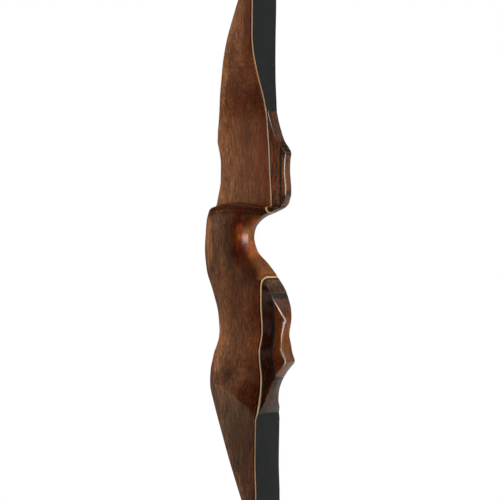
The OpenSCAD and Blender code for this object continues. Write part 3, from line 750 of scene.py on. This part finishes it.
# Broad tone in the boards, partly the wood's own and partly painted light and shade. A stop of a ramp is a
# place in millimetres and how much of red, green and blue is left. "belly" is a ramp over the height for the
# belly face, which begins "reach" before it; it paints the light and shade of the belly faces, which face the
# key lamp. Patches and rings are ovals by depth, height, their two half sizes and the same shares. "shelf"
# paints shade on the wood at the arrow shelf, and the flat tint paints a pale reflection haze on the flat
# side below the scooped grip.
evenRamp = [(0, (1, 1, 1)), (1, (1, 1, 1))]
plainBoard = {"depth": evenRamp, "belly": evenRamp, "reach": 1.0, "patches": [], "rings": [],
              "shelf": (1, 1, 1), "flat": (1, 1, 1)}
boardTonesAndLight = {
    "riser": {
        "height": [
            (-230, (0.4, 0.47, 0.5)), (-160, (0.42, 0.5, 0.6)), (-130, (0.7, 0.68, 0.7)),
            (-100, (0.92, 0.92, 0.95)), (-60, (0.52, 0.43, 0.33)), (-20, (0.52, 0.5, 0.45)),
            (15, (0.58, 0.56, 0.55)), (36, (1.04, 1.0, 0.8)), (65, (0.98, 0.88, 0.73)),
            (95, (0.83, 0.66, 0.4)), (125, (0.53, 0.38, 0.33)), (150, (0.8, 0.75, 0.8)),
            (170, (0.96, 1.0, 1.12)), (210, (1.12, 1.12, 1.1))],
        # lighter and bluer towards the back edge: a painted reflection haze there
        "depth": [
            (-45, (1.3, 1.4, 1.5)), (-22, (1.3, 1.4, 1.5)), (-10, (0.95, 0.95, 0.95)),
            (5, (0.85, 0.72, 0.6)), (12, (0.73, 0.5, 0.2)), (30, (0.8, 0.65, 0.4))],
        "belly": [
            (-60, (0.8, 0.7, 0.5)), (-40, (1.35, 1.2, 1.0)), (-18, (1.6, 1.4, 0.9)), (-4, (1.6, 1.12, 0.35)),
            (12, (1.3, 0.85, 0.25)), (22, (0.5, 0.35, 0.2)), (34, (0.4, 0.28, 0.25)), (60, (1, 1, 1))],
        "reach": 5.0,
        # many patches paint light and shade round the throat: the key lamp's glow and highlight, and a dark
        # band where the lacquer mirrors darkness; the lighter patch at the back is painted reflection haze;
        # the rest is the wood's own tone
        "patches": [
            (-36, 0, 5, 30, (2.25, 2.4, 1.95)), (-32, 20, 8, 9, (0.68, 0.64, 0.64)),
            (-28, 64, 9, 20, (0.8, 0.8, 0.94)), (6, 128, 8, 14, (0.82, 0.8, 0.7)),
            (-34, 150, 10, 24, (0.6, 0.66, 0.85)), (-3.5, -88, 8, 14, (0.82, 0.85, 0.9)),
            (-4.8, 3, 4.2, 8, (2.9, 2.8, 1.5)), (-1.6, 3, 2.4, 7, (0.66, 0.95, 1.0)),
            (-6, -6, 3.4, 7, (1.9, 2.0, 1.4)), (-11, 1, 3, 9, (1.4, 1.05, 0.5)),
            (-8, 0, 3, 8, (1.05, 1.4, 1.5)), (-30, -88, 7, 14, (1.1, 1.1, 1.1)),
            (-19, -87, 5, 15, (1.25, 1.22, 1.15)), (12, -120, 8, 22, (0.8, 0.8, 0.8)),
            (-8, 94, 8, 16, (0.87, 0.92, 0.92)), (-2, 16, 7, 9, (0.72, 0.45, 0.12)),
            (-2, -18, 7, 9, (0.95, 0.75, 0.4)), (4, 26, 14, 6, (0.9, 0.56, 0.25)),
            (12, -75, 10, 28, (0.9, 0.79, 0.5)), (-27, -100, 6, 32, (1.25, 1.2, 1.2)),
            (-20, -128, 10, 8, (0.7, 0.65, 0.7)), (-20, 10, 6, 24, (0.68, 0.74, 0.95)),
            (-13, -4, 6, 28, (0.5, 0.48, 0.42)), (-7, 0, 6, 26, (0.66, 0.34, 0.06)),
            (-4, -16, 6, 14, (0.75, 0.5, 0.4)), (5, -30, 8, 15, (0.65, 0.55, 0.4)),
            (6, -146, 16, 20, (0.54, 0.38, 0.15)), (9, 190, 6, 30, (0.64, 0.48, 0.1)),
            (-16, -122, 6, 12, (0.6, 0.6, 0.65)),
        ],
        "rings": [(-32, -12, 3.6, 19, (0.62, 0.58, 0.55)), (-32, -12, 1.8, 12, (0.8, 0.78, 0.75))],
        "shelf": (0.38, 0.31, 0.27),
        "flat": (1.1, 1.2, 1.3),
    },
    "limb": dict(
        plainBoard,
        height=[(-700, (0.75, 0.76, 0.75)), (-260, (0.5, 0.54, 0.56)), (-150, (0.45, 0.5, 0.54)),
                (-95, (0.9, 0.9, 0.92)), (250, (1.05, 1.02, 0.95)), (700, (0.9, 0.88, 0.84))],
        # lighter and bluer towards the back edge: a painted reflection haze there
        depth=[(-45, (1.3, 1.4, 1.5)), (-20, (1.3, 1.4, 1.5)), (0, (1, 1, 1)), (40, (0.9, 0.85, 0.8))],
        reach=0.5),
    # the heel's side is darkened below -40 mm as painted shade, away from the key lamp, and its belly face
    # lightened as painted light
    "inner": dict(
        plainBoard,
        height=[(-170, (0.15, 0.07, 0.02)), (-40, (0.15, 0.07, 0.02)), (24, (0.6, 0.35, 0.15)),
                (40, (0.86, 0.63, 0.12)), (100, (0.8, 0.57, 0.1)), (140, (0.6, 0.43, 0.2))],
        belly=[(-170, (0.15, 0.14, 0.14)), (-157, (0.22, 0.19, 0.17)), (-150, (0.34, 0.29, 0.26)),
               (-53, (0.3, 0.4, 0.6)), (-47, (0.64, 0.9, 2.0)), (-42, (1.1, 1.9, 4.0)),
               (24, (0.6, 0.35, 0.15)), (90, (0.66, 0.62, 0.5)), (100, (0.5, 0.42, 0.4)),
               (140, (0.42, 0.36, 0.36))],
        shelf=(0.5, 0.5, 0.5)),
    "outer": dict(
        plainBoard,
        height=[(-130, (0.25, 0.2, 0.15)), (-98, (0.23, 0.17, 0.12)), (-78, (0.24, 0.19, 0.13)),
                (-66, (0.3, 0.2, 0.13)), (24, (0.25, 0.18, 0.12)), (40, (0.48, 0.36, 0.3)),
                (90, (0.48, 0.36, 0.3))],
        belly=[(-130, (0.5, 0.6, 0.7)), (-112, (0.5, 0.5, 0.45)), (-100, (0.52, 0.45, 0.21)),
               (-84, (0.7, 0.53, 0.18)), (-60, (0.36, 0.26, 0.08)), (24, (0.5, 0.4, 0.3)),
               (40, (0.43, 0.47, 0.62)), (90, (0.43, 0.47, 0.62))],
        reach=1.8,
        patches=[(33, 78, 6, 6, (0.3, 0.3, 0.35)), (33, 36, 6, 6, (0.35, 0.35, 0.4))],
        shelf=(0.5, 0.5, 0.5)),
    "pale": dict(
        plainBoard,
        height=[(-230, (0.85, 0.82, 0.75)), (-210, (0.7, 0.66, 0.55)), (-175, (0.65, 0.6, 0.5)),
                (-158, (0.95, 0.92, 0.85)), (-40, (1.4, 1.25, 0.9)), (20, (1.3, 1.2, 0.9)),
                (40, (1, 1, 1)), (210, (1, 1, 1))],
        belly=[(-60, (1, 1, 1)), (-44, (1.6, 1.45, 1.1)), (-30, (1.7, 1.5, 1.1)), (20, (1.8, 1.6, 1.3)),
               (40, (1, 1, 1))]),
}

# Lines that all boards share, in millimetres; a pair is where a tint ends and where it is full
sharedLines = {
    "arcDepth": -32,          # the scooped grip ends in the flat side along an arc from here
    "arcHeight": -132,
    "arcSlope": 0.1545,
    "arcBend": 0.0104,
    "arcSoft": 0.5,           # half the width of its soft edge
    "flatFade": (-34, -4),    # the flat's painted reflection haze, below the arc
    "bellyFull": 0.3,         # so near the belly face its own ramp is full
    "shelfBelow": (-13, -6),  # the shelf's painted shade, from the shelf
    "shelfAbove": (1.2, 0.2),
    "rollAt": -6.6,           # the broken painted highlight along the shelf's rolled edge
    "rollWidth": (1.0, 0.3),
    "rollDepth": (14, 10),
    "rollDots": 700.0,        # scale of the noise that breaks it
    "rollShares": (2.4, 2.3, 2.2),
    "driftScale": 45.0,       # a noise that makes all outlines uneven, and its size in metres
    "drift": (0.0, 0.006, 0.012),
}


# The shares that a row of stops gives for a value
def shareRamp(value, stops):
    first, last = stops[0][0], stops[-1][0]
    ramp = add(value.tree, "ValToRGB", {0: (value - first) / (last - first)})
    row = ramp.node.color_ramp
    row.interpolation = "EASE"
    while len(row.elements) < len(stops):
        row.elements.new(0.5)
    for element, (where, shares) in zip(row.elements, stops):
        element.position = (where - first) / (last - first)
        element.color = [c / 2 for c in shares] + [1]  # halved, since a stop holds 1 at most
    return ramp.vector("MULTIPLY", (2.0, 2.0, 2.0))


# 0 in the middle of an oval and 1 on its outline
def oval(depth, height, middleDepth, middleHeight, halfDepth, halfHeight):
    a = (depth - middleDepth) / halfDepth
    b = (height - middleHeight) / halfHeight
    return a * a + b * b


def buildToneAndLightGroup(name, tones, lines):
    tree, given, put = newGroup(name + "Tone", {"Color": white}, {"Color": white})
    where = objectPlace(tree)
    drift = where.noise(lines["driftScale"])["Color"].vector("SUBTRACT", (0.5, 0.5, 0.5))
    axes = add(tree, "SeparateXYZ", {0: where.vector("ADD", drift.vector("MULTIPLY", lines["drift"]))})
    depth, height = axes[1] * -1000.0, axes[2] * 1000.0
    tint = shareRamp(height, tones["height"]).mix(1.0, shareRamp(depth, tones["depth"]), "MULTIPLY")
    # the belly ramp paints the light and shade of the belly faces, which face the key lamp
    onBelly = vertexValue(tree, "toBelly").spread(tones["reach"], lines["bellyFull"])
    tint = tint.mix(onBelly, shareRamp(height, tones["belly"]))

    fromArc = depth - lines["arcDepth"]
    above = height - lines["arcHeight"] + fromArc * (fromArc * lines["arcBend"] + lines["arcSlope"])
    scooped = above.spread(-lines["arcSoft"], lines["arcSoft"])
    # a pale painted reflection haze on the flat side below the arc
    below = above.spread(lines["arcSoft"], -lines["arcSoft"]) * above.spread(*lines["flatFade"])
    tint = tint.shade(below, tones["flat"])
    for *patch, shares in tones["patches"]:
        tint = tint.shade(oval(depth, height, *patch).spread(1.3, 0.15) * scooped, shares)
    for *ring, shares in tones["rings"]:
        fromRing = (oval(depth, height, *ring).maths("SQRT") - 1.0).maths("ABSOLUTE")
        tint = tint.shade(fromRing.spread(0.3, 0.05), shares)

    # painted shade on the near side at the arrow shelf, from a little below it up to it
    fromShelf = vertexValue(tree, "level") - riserShelf
    offFar = vertexValue(tree, "nearSide").spread(0.02, 0.1)
    shelf = fromShelf.spread(*lines["shelfBelow"], 0.0, offFar) * fromShelf.spread(*lines["shelfAbove"])
    tint = tint.shade(shelf, tones["shelf"])
    # a broken painted highlight along the shelf's rolled edge
    rolled = (fromShelf - lines["rollAt"]).maths("ABSOLUTE").spread(*lines["rollWidth"])
    rolled = rolled * depth.spread(*lines["rollDepth"], 0.0, offFar)
    rolled = rolled * where.noise(lines["rollDots"]).spread(0.35, 0.6, 0.3, 1.0)
    tint = tint.shade(rolled, lines["rollShares"])
    fill(put, {"Color": given["Color"].mix(1.0, tint, "MULTIPLY")})
    return tree


# A painted highlight along the ridge between the near side and the belly face: a lighter colour where the
# lacquer would mirror the key lamp
rubbedRidge = {
    "shine": [  # how strong the painted highlight is, by height in millimetres
        (-118, 0), (-114, 0.5), (-106, 0.35), (-101, 0), (-79, 0), (-76, 0.7), (-61, 0.6), (-56, 0.15),
        (-50, 0), (36, 0), (39, 0.2), (73, 0.25), (77, 0.1), (86, 0), (94, 0.15), (112, 0.4), (122, 0)],
    "toBelly": (0.8, 0.4),       # millimetres from the belly face, where it ends and where it is full
    "nearSide": (0.97, 0.988),   # the same on the belly face, from 1 at the ridge to 0 at the far side
    "colour": "b0a9a4",
}


def buildRidgeHighlightGroup(ridge):
    tree, given, put = newGroup("rubbedRidge", {"Color": white}, {"Color": white})
    height = add(tree, "SeparateXYZ", {0: objectPlace(tree)})[2] * 1000.0
    shine = shareRamp(height, [(z, (part, part, part)) for z, part in ridge["shine"]])
    mask = add(tree, "SeparateXYZ", {0: shine})
    for name in ("toBelly", "nearSide"):
        mask = mask * vertexValue(tree, name).spread(*ridge[name])
    fill(put, {"Color": given["Color"].mix(mask, colour(ridge["colour"]))})
    return tree


# The thin dark glue line beside the pale strip, on the limbs and the heel
glueLine = {
    "below": (-0.02, -0.05),  # heights in metres, where it begins and where it is full
    "above": (0.15, 0.18),
    "toSeam": (1.7, 1.0),     # millimetres from the glued face, where it ends and where it is full
    "shares": (0.3, 0.15, 0.08),
}


def buildSeamGroup(line):
    tree, given, put = newGroup("glueSeam", {"Color": white, "Seam": 1.0}, {"Color": white})
    height = add(tree, "SeparateXYZ", {0: objectPlace(tree)})[2]
    limbs = height.spread(*line["below"]) + height.spread(*line["above"])
    part = vertexValue(tree, "toSeam").spread(*line["toSeam"]) * limbs * given["Seam"]
    fill(put, {"Color": given["Color"].shade(part, line["shares"])})
    return tree


# The glass by the width and length of its threads and of its broad streaks, in metres
glassParts = {
    "threads": (0.0007, 0.09),
    "broad": (0.006, 0.2),
}


def buildFibreGroup(glass):
    tree, given, put = newGroup("glassFibre", {"Glass Colour": white, "Sheen Colour": white, "Fibre": 0.5},
                                {"Color": white, "Height": 0.0})
    where = objectPlace(tree)
    threads = where.grain(*glass["threads"], 2.0)
    broad = where.grain(*glass["broad"], 2.0)
    mask = (threads.spread(0.35, 0.7) + broad) * 0.5 * given["Fibre"]
    fill(put, {"Color": given["Glass Colour"].mix(mask, given["Sheen Colour"]), "Height": threads})
    return tree


woodGroup = buildWoodGroup(woodParts)
lacquerGroup = buildLacquerGroup(lacquerParts)
seamGroup = buildSeamGroup(glueLine)
ridgeHighlightGroup = buildRidgeHighlightGroup(rubbedRidge)
fibreGroup = buildFibreGroup(glassParts)
toneAndLightGroups = {name: buildToneAndLightGroup(name, tones, sharedLines) for name, tones in boardTonesAndLight.items()}

lacquer = {
    "ior": 1.5,
    "specular": 0.04,
    "coat": 0.8,
    "coatRoughness": 0.22,
    "coatIor": 1.5,
    "roughness": 0.4,
    "unevenness": 0.12,
    "dust": 0.04,
    "dustColour": "9b8f84",
    "bump": 0.3,
    "bumpDepth": 0.0002,  # metres
    "skinBump": 0.2,      # the lacquer's share in the wood's bumps
    "coatBump": 0.35,     # bumps of the lacquer itself, as a share of the wood's
}
riserWood = dict(lacquer, dark="3f210f", middle="5f3b20", light="895531", red="5e3018", bandWidth=0.007,
                 streakWidth=0.0011, streakLength=0.009, waviness=0.007, figure=0.1, pores=0.6, offset=0.0,
                 tones="riser", seam=1.0, ridge=False)
limbWood = dict(riserWood, offset=0.31, figure=0.2, tones="limb", seam=0.0)
overlayWood = dict(riserWood, dark="48200c", middle="74401f", light="9a6433", red="7c3814", offset=0.72,
                   bandWidth=0.006, figure=0.35, tones="outer", seam=0.0, ridge=True, coat=1.0,
                   coatRoughness=0.07)
overlayDarkWood = dict(riserWood, dark="1c0e06", middle="44240f", light="7c4a20", red="481e0a", offset=1.3,
                       bandWidth=0.005, figure=0.35, tones="inner", seam=0.0, ridge=True)
paleWood = dict(riserWood, dark="7a5d42", middle="96785a", light="a68e72", red="8f6d4c", offset=2.1,
                bandWidth=0.003, streakWidth=0.0007, streakLength=0.05, waviness=0.001, figure=0.1,
                pores=0.25, tones="pale", seam=0.0, dust=0.1)
clearGlass = dict(limbWood, coat=1.0, coatRoughness=0.08)
accentBlack = dict(lacquer, glassColour="100d0b", sheenColour="1c1917", fibre=0.6, ridge=True)
blackGlass = dict(lacquer, glassColour="171919", sheenColour="212323", fibre=0.7, ridge=False,
                  specular=0.1, coat=0.02, coatRoughness=0.2, roughness=0.5, dust=0.25, bump=0.2)


# A group in a material. An input such as "Band Width" takes the setting bandWidth, if there is one.
def placeGroup(tree, group, finish, **values):
    for item in group.interface.items_tree:
        key = item.name[0].lower() + item.name[1:].replace(" ", "")
        if item.in_out == "INPUT" and key in finish:
            values[item.name] = colour(finish[key]) if isinstance(finish[key], str) else finish[key]
    return add(tree, "Group", values, node_tree=group)


def startMaterial(name):
    material = bpy.data.materials.new(name)
    material.use_nodes = True
    return material, material.node_tree, material.node_tree.nodes["Principled BSDF"]


def makeBump(finish, share, height):
    return add(height.tree, "Bump", {"Strength": finish["bump"] * share, "Distance": finish["bumpDepth"],
                                     "Height": height})


def finishSurface(shader, finish, base, height):
    skin = placeGroup(base.tree, lacquerGroup, finish)
    # paints the ridge highlight into the base colour, where the finish asks for it
    if finish["ridge"]:
        base = placeGroup(base.tree, ridgeHighlightGroup, finish, Color=base)
    fill(shader, {
        "IOR": finish["ior"],
        "Specular IOR Level": finish["specular"],
        "Coat Weight": finish["coat"],
        "Coat Roughness": finish["coatRoughness"],
        "Coat IOR": finish["coatIor"],
        "Base Color": base.mix(skin["Dust"], colour(finish["dustColour"])),
        "Roughness": skin["Roughness"],
        "Normal": makeBump(finish, 1.0, skin["Height"] * finish["skinBump"] + height),
        "Coat Normal": makeBump(finish, finish["coatBump"], skin["Height"])})


def woodMaterial(name, wood):
    material, tree, shader = startMaterial(name)
    figure = placeGroup(tree, woodGroup, wood)
    toned = placeGroup(tree, toneAndLightGroups[wood["tones"]], wood, Color=figure["Color"])
    finishSurface(shader, wood, placeGroup(tree, seamGroup, wood, Color=toned), figure["Height"])
    return material


def fibreMaterial(name, fibre):
    material, tree, shader = startMaterial(name)
    weave = placeGroup(tree, fibreGroup, fibre)
    finishSurface(shader, fibre, weave["Color"], weave["Height"])
    return material


materials = {
    "riser_wood": woodMaterial("riserWood", riserWood),
    "limb_wood": woodMaterial("limbWood", limbWood),
    "overlay_wood": woodMaterial("overlayWood", overlayWood),
    "overlay_dark_wood": woodMaterial("overlayDarkWood", overlayDarkWood),
    "pale_wood": woodMaterial("paleWood", paleWood),
    "accent_black": fibreMaterial("accentBlack", accentBlack),
    "black_glass": fibreMaterial("blackGlass", blackGlass),
    "clear_glass": woodMaterial("clearGlass", clearGlass),
}
print("materials made:", len(materials))

# Each piece of a half: node, slot, layer faces and steps from face to face
halfPieces = [
    ("belly_core", "pale_wood", 3, 4, 4),
    ("belly_glass", "black_glass", 4, 5, 5),
    ("back_core", "limb_wood", 1, 2, 5),
    ("back_glass", "clear_glass", 0, 1, 5),
    ("overlay_inner", "overlay_dark_wood", 5, 6, 7),
    ("overlay_accent", "accent_black", 6, 7, 5),
    ("overlay_outer", "overlay_wood", 7, 8, 14),
]
tipPieces = [
    ("tip_wedge", "limb_wood", 2, 3, 3),
    ("tip_black", "accent_black", 9, 0, 3),
    ("tip_pale", "pale_wood", 10, 9, 3),
    ("tip_cap", "riser_wood", 11, 10, 6),
]
pastFade = {"riser": 3, "tips": 20}  # where the riser's wedge ends and the tips' pieces can begin


def buildBow():
    fade = limbShape["fade"]
    reach = [c for c in wholeBow if "half" not in c or c["s"] <= fade + pastFade["riser"]]
    makePiece("riser", "block", "riser_wood", reach, 2, 3, 26)
    for side, sections in (("upper", upperHalf), ("lower", lowerHalf)):
        outer = [c for c in sections if "half" in c and c["s"] > fade + pastFade["tips"]]
        for rows, kept in ((halfPieces, sections), (tipPieces, outer)):
            for node, slotName, lowFace, highFace, steps in rows:
                makePiece(side, node, slotName, kept, lowFace, highFace, steps)


buildBow()

# Soft studio light. Each lamp's turn and rise in degrees as seen from the grip, its distance, width
# and height in metres, how bright it looks, and whether the lacquer mirrors it
studioLamps = {
    "keySoftbox": (-1, 2, 1.9, 1.35, 0.65, 8.5, True),
    "backKey": (212, 8, 2.2, 0.9, 1.1, 6.0, False),
    "windowFill": (100, 15, 2.4, 2.0, 2.0, 2.9, False),
    "frontHigh": (-20, 35, 2.2, 1.4, 1.4, 3.0, False),
    "highFill": (60, 58, 2.4, 1.6, 1.4, 2.5, False),
    "lowFill": (60, -42, 2.0, 1.6, 1.2, 2.0, False),
    "backFill": (190, 25, 2.6, 1.6, 1.6, 4.5, False),
    "farFill": (-95, 10, 2.6, 1.4, 2.0, 4.5, False),
}


def makeLamp(name, turn, rise, distance, width, height, radiance, mirrored):
    toGrip = lookDirection(turn, rise)
    data = bpy.data.lights.new(name, "AREA")
    data.shape = "RECTANGLE"
    data.size, data.size_y = width, height
    data.energy = radiance * math.pi * width * height
    light = bpy.data.objects.new(name, data)
    light.visible_camera = False
    light.visible_glossy = mirrored
    stand(light, -toGrip * distance, toGrip)


for lampName, lamp in studioLamps.items():
    makeLamp(lampName, *lamp)

studioRoom = {
    "dim": 0.25,            # light on the colours from all around
    "mirrorDim": 0.015,     # the same as seen in the lacquer
    "mirrorLevel": 0.16,    # at the height of the bow, away from the window side
    "mirrorHigh": 0.38,     # above it
    "mirrorLow": 0.38,      # below it
    "mirrorTop": 0.8,       # high over the bow
    "mirrorBackdrop": 0.1,  # straight behind the bow
    "mirrorWindow": 0.52,   # on the window side and behind
    "windowTurn": 150,      # where that is, in degrees as for the camera
    "mirrorTint": [1.0, 0.95, 0.88, 1],
    "floorSize": 9.0,
    "floorGap": 0.0005,     # below the lowest point of the bow
    "floorGrey": 0.86,
    "floorFade": (0.35, 1.6),  # metres from the bow, where the floor begins to turn white and is white
}


def makeWorld(room):
    world = bpy.data.worlds.new("studio")
    bpy.context.scene.world = world
    world.use_nodes = True
    tree = world.node_tree
    tree.nodes.clear()
    rays = add(tree, "LightPath")
    direction = add(tree, "TexCoord")["Generated"]
    axes = add(tree, "SeparateXYZ", {0: direction})
    rise, steep = axes[2], axes[2].maths("ABSOLUTE")
    high = rise.spread(0.22, 0.38) * rise.spread(0.62, 0.45)
    high = high * axes[1].spread(-0.2, -0.35, 0.0, room["mirrorHigh"])
    low = rise.spread(-0.05, -0.22) * rise.spread(-0.7, -0.5, 0.0, room["mirrorLow"])
    level = steep.spread(0.4, 0.2, 0.0, room["mirrorLevel"])
    toWindow = direction.vector("DOT_PRODUCT", -lookDirection(room["windowTurn"], 0))["Value"]
    toBackdrop = direction.vector("DOT_PRODUCT", lookAhead)["Value"]
    mirror = (axes[0].spread(0.2, 0.7) * (high + low + level) + room["mirrorDim"]
              + rise.spread(0.84, 0.95) * room["mirrorTop"]
              + toWindow.spread(0.75, 0.93) * steep.spread(0.34, 0.1) * room["mirrorWindow"]
              + toBackdrop.spread(0.84, 0.94) * room["mirrorBackdrop"])
    inLacquer = rays["Is Glossy Ray"]
    strength = add(tree, "Mix", {0: inLacquer, 2: room["dim"], 3: mirror})
    tint = add(tree, "Mix", {0: inLacquer, 6: white, 7: room["mirrorTint"]}, data_type="RGBA")[2]
    dim = add(tree, "Background", {"Color": tint, "Strength": strength})
    backdrop = add(tree, "Background", {"Color": white, "Strength": 1.0})
    seen = rays["Is Camera Ray"].maths("MAXIMUM", rays["Is Transmission Ray"])
    shown = add(tree, "MixShader", {0: seen, 1: dim, 2: backdrop})
    fill(tree.nodes.new("ShaderNodeOutputWorld"), {0: shown})


def makeFloor(room):
    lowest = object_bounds()[0].z - room["floorGap"]
    half, grey = room["floorSize"] / 2, room["floorGrey"]
    mesh = bpy.data.meshes.new("studioFloor")
    corners = [(x * half, y * half, lowest) for x, y in ((-1, -1), (1, -1), (1, 1), (-1, 1))]
    mesh.from_pydata(corners, [], [(0, 1, 2, 3)])
    floor = bpy.data.objects.new("studioFloor", mesh)
    bpy.context.scene.collection.objects.link(floor)
    material, tree, shader = startMaterial("studioFloor")
    fill(shader, {"Base Color": (grey, grey, grey, 1), "Roughness": 0.9, "Specular IOR Level": 0.1})
    glow = add(tree, "Emission", {"Color": white, "Strength": 1.0})
    away = objectPlace(tree).vector("DISTANCE", (0, 0, lowest))["Value"]
    factor = away.spread(*room["floorFade"]) * add(tree, "LightPath")["Is Camera Ray"]
    shown = add(tree, "MixShader", {0: factor, 1: NodeOutput(shader), 2: glow})
    fill(tree.nodes["Material Output"], {0: shown})
    mesh.materials.append(material)
    floor.visible_glossy = False
    floor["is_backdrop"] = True


makeWorld(studioRoom)
makeFloor(studioRoom)
bpy.context.scene.view_settings.view_transform = "Standard"
print("studio made")
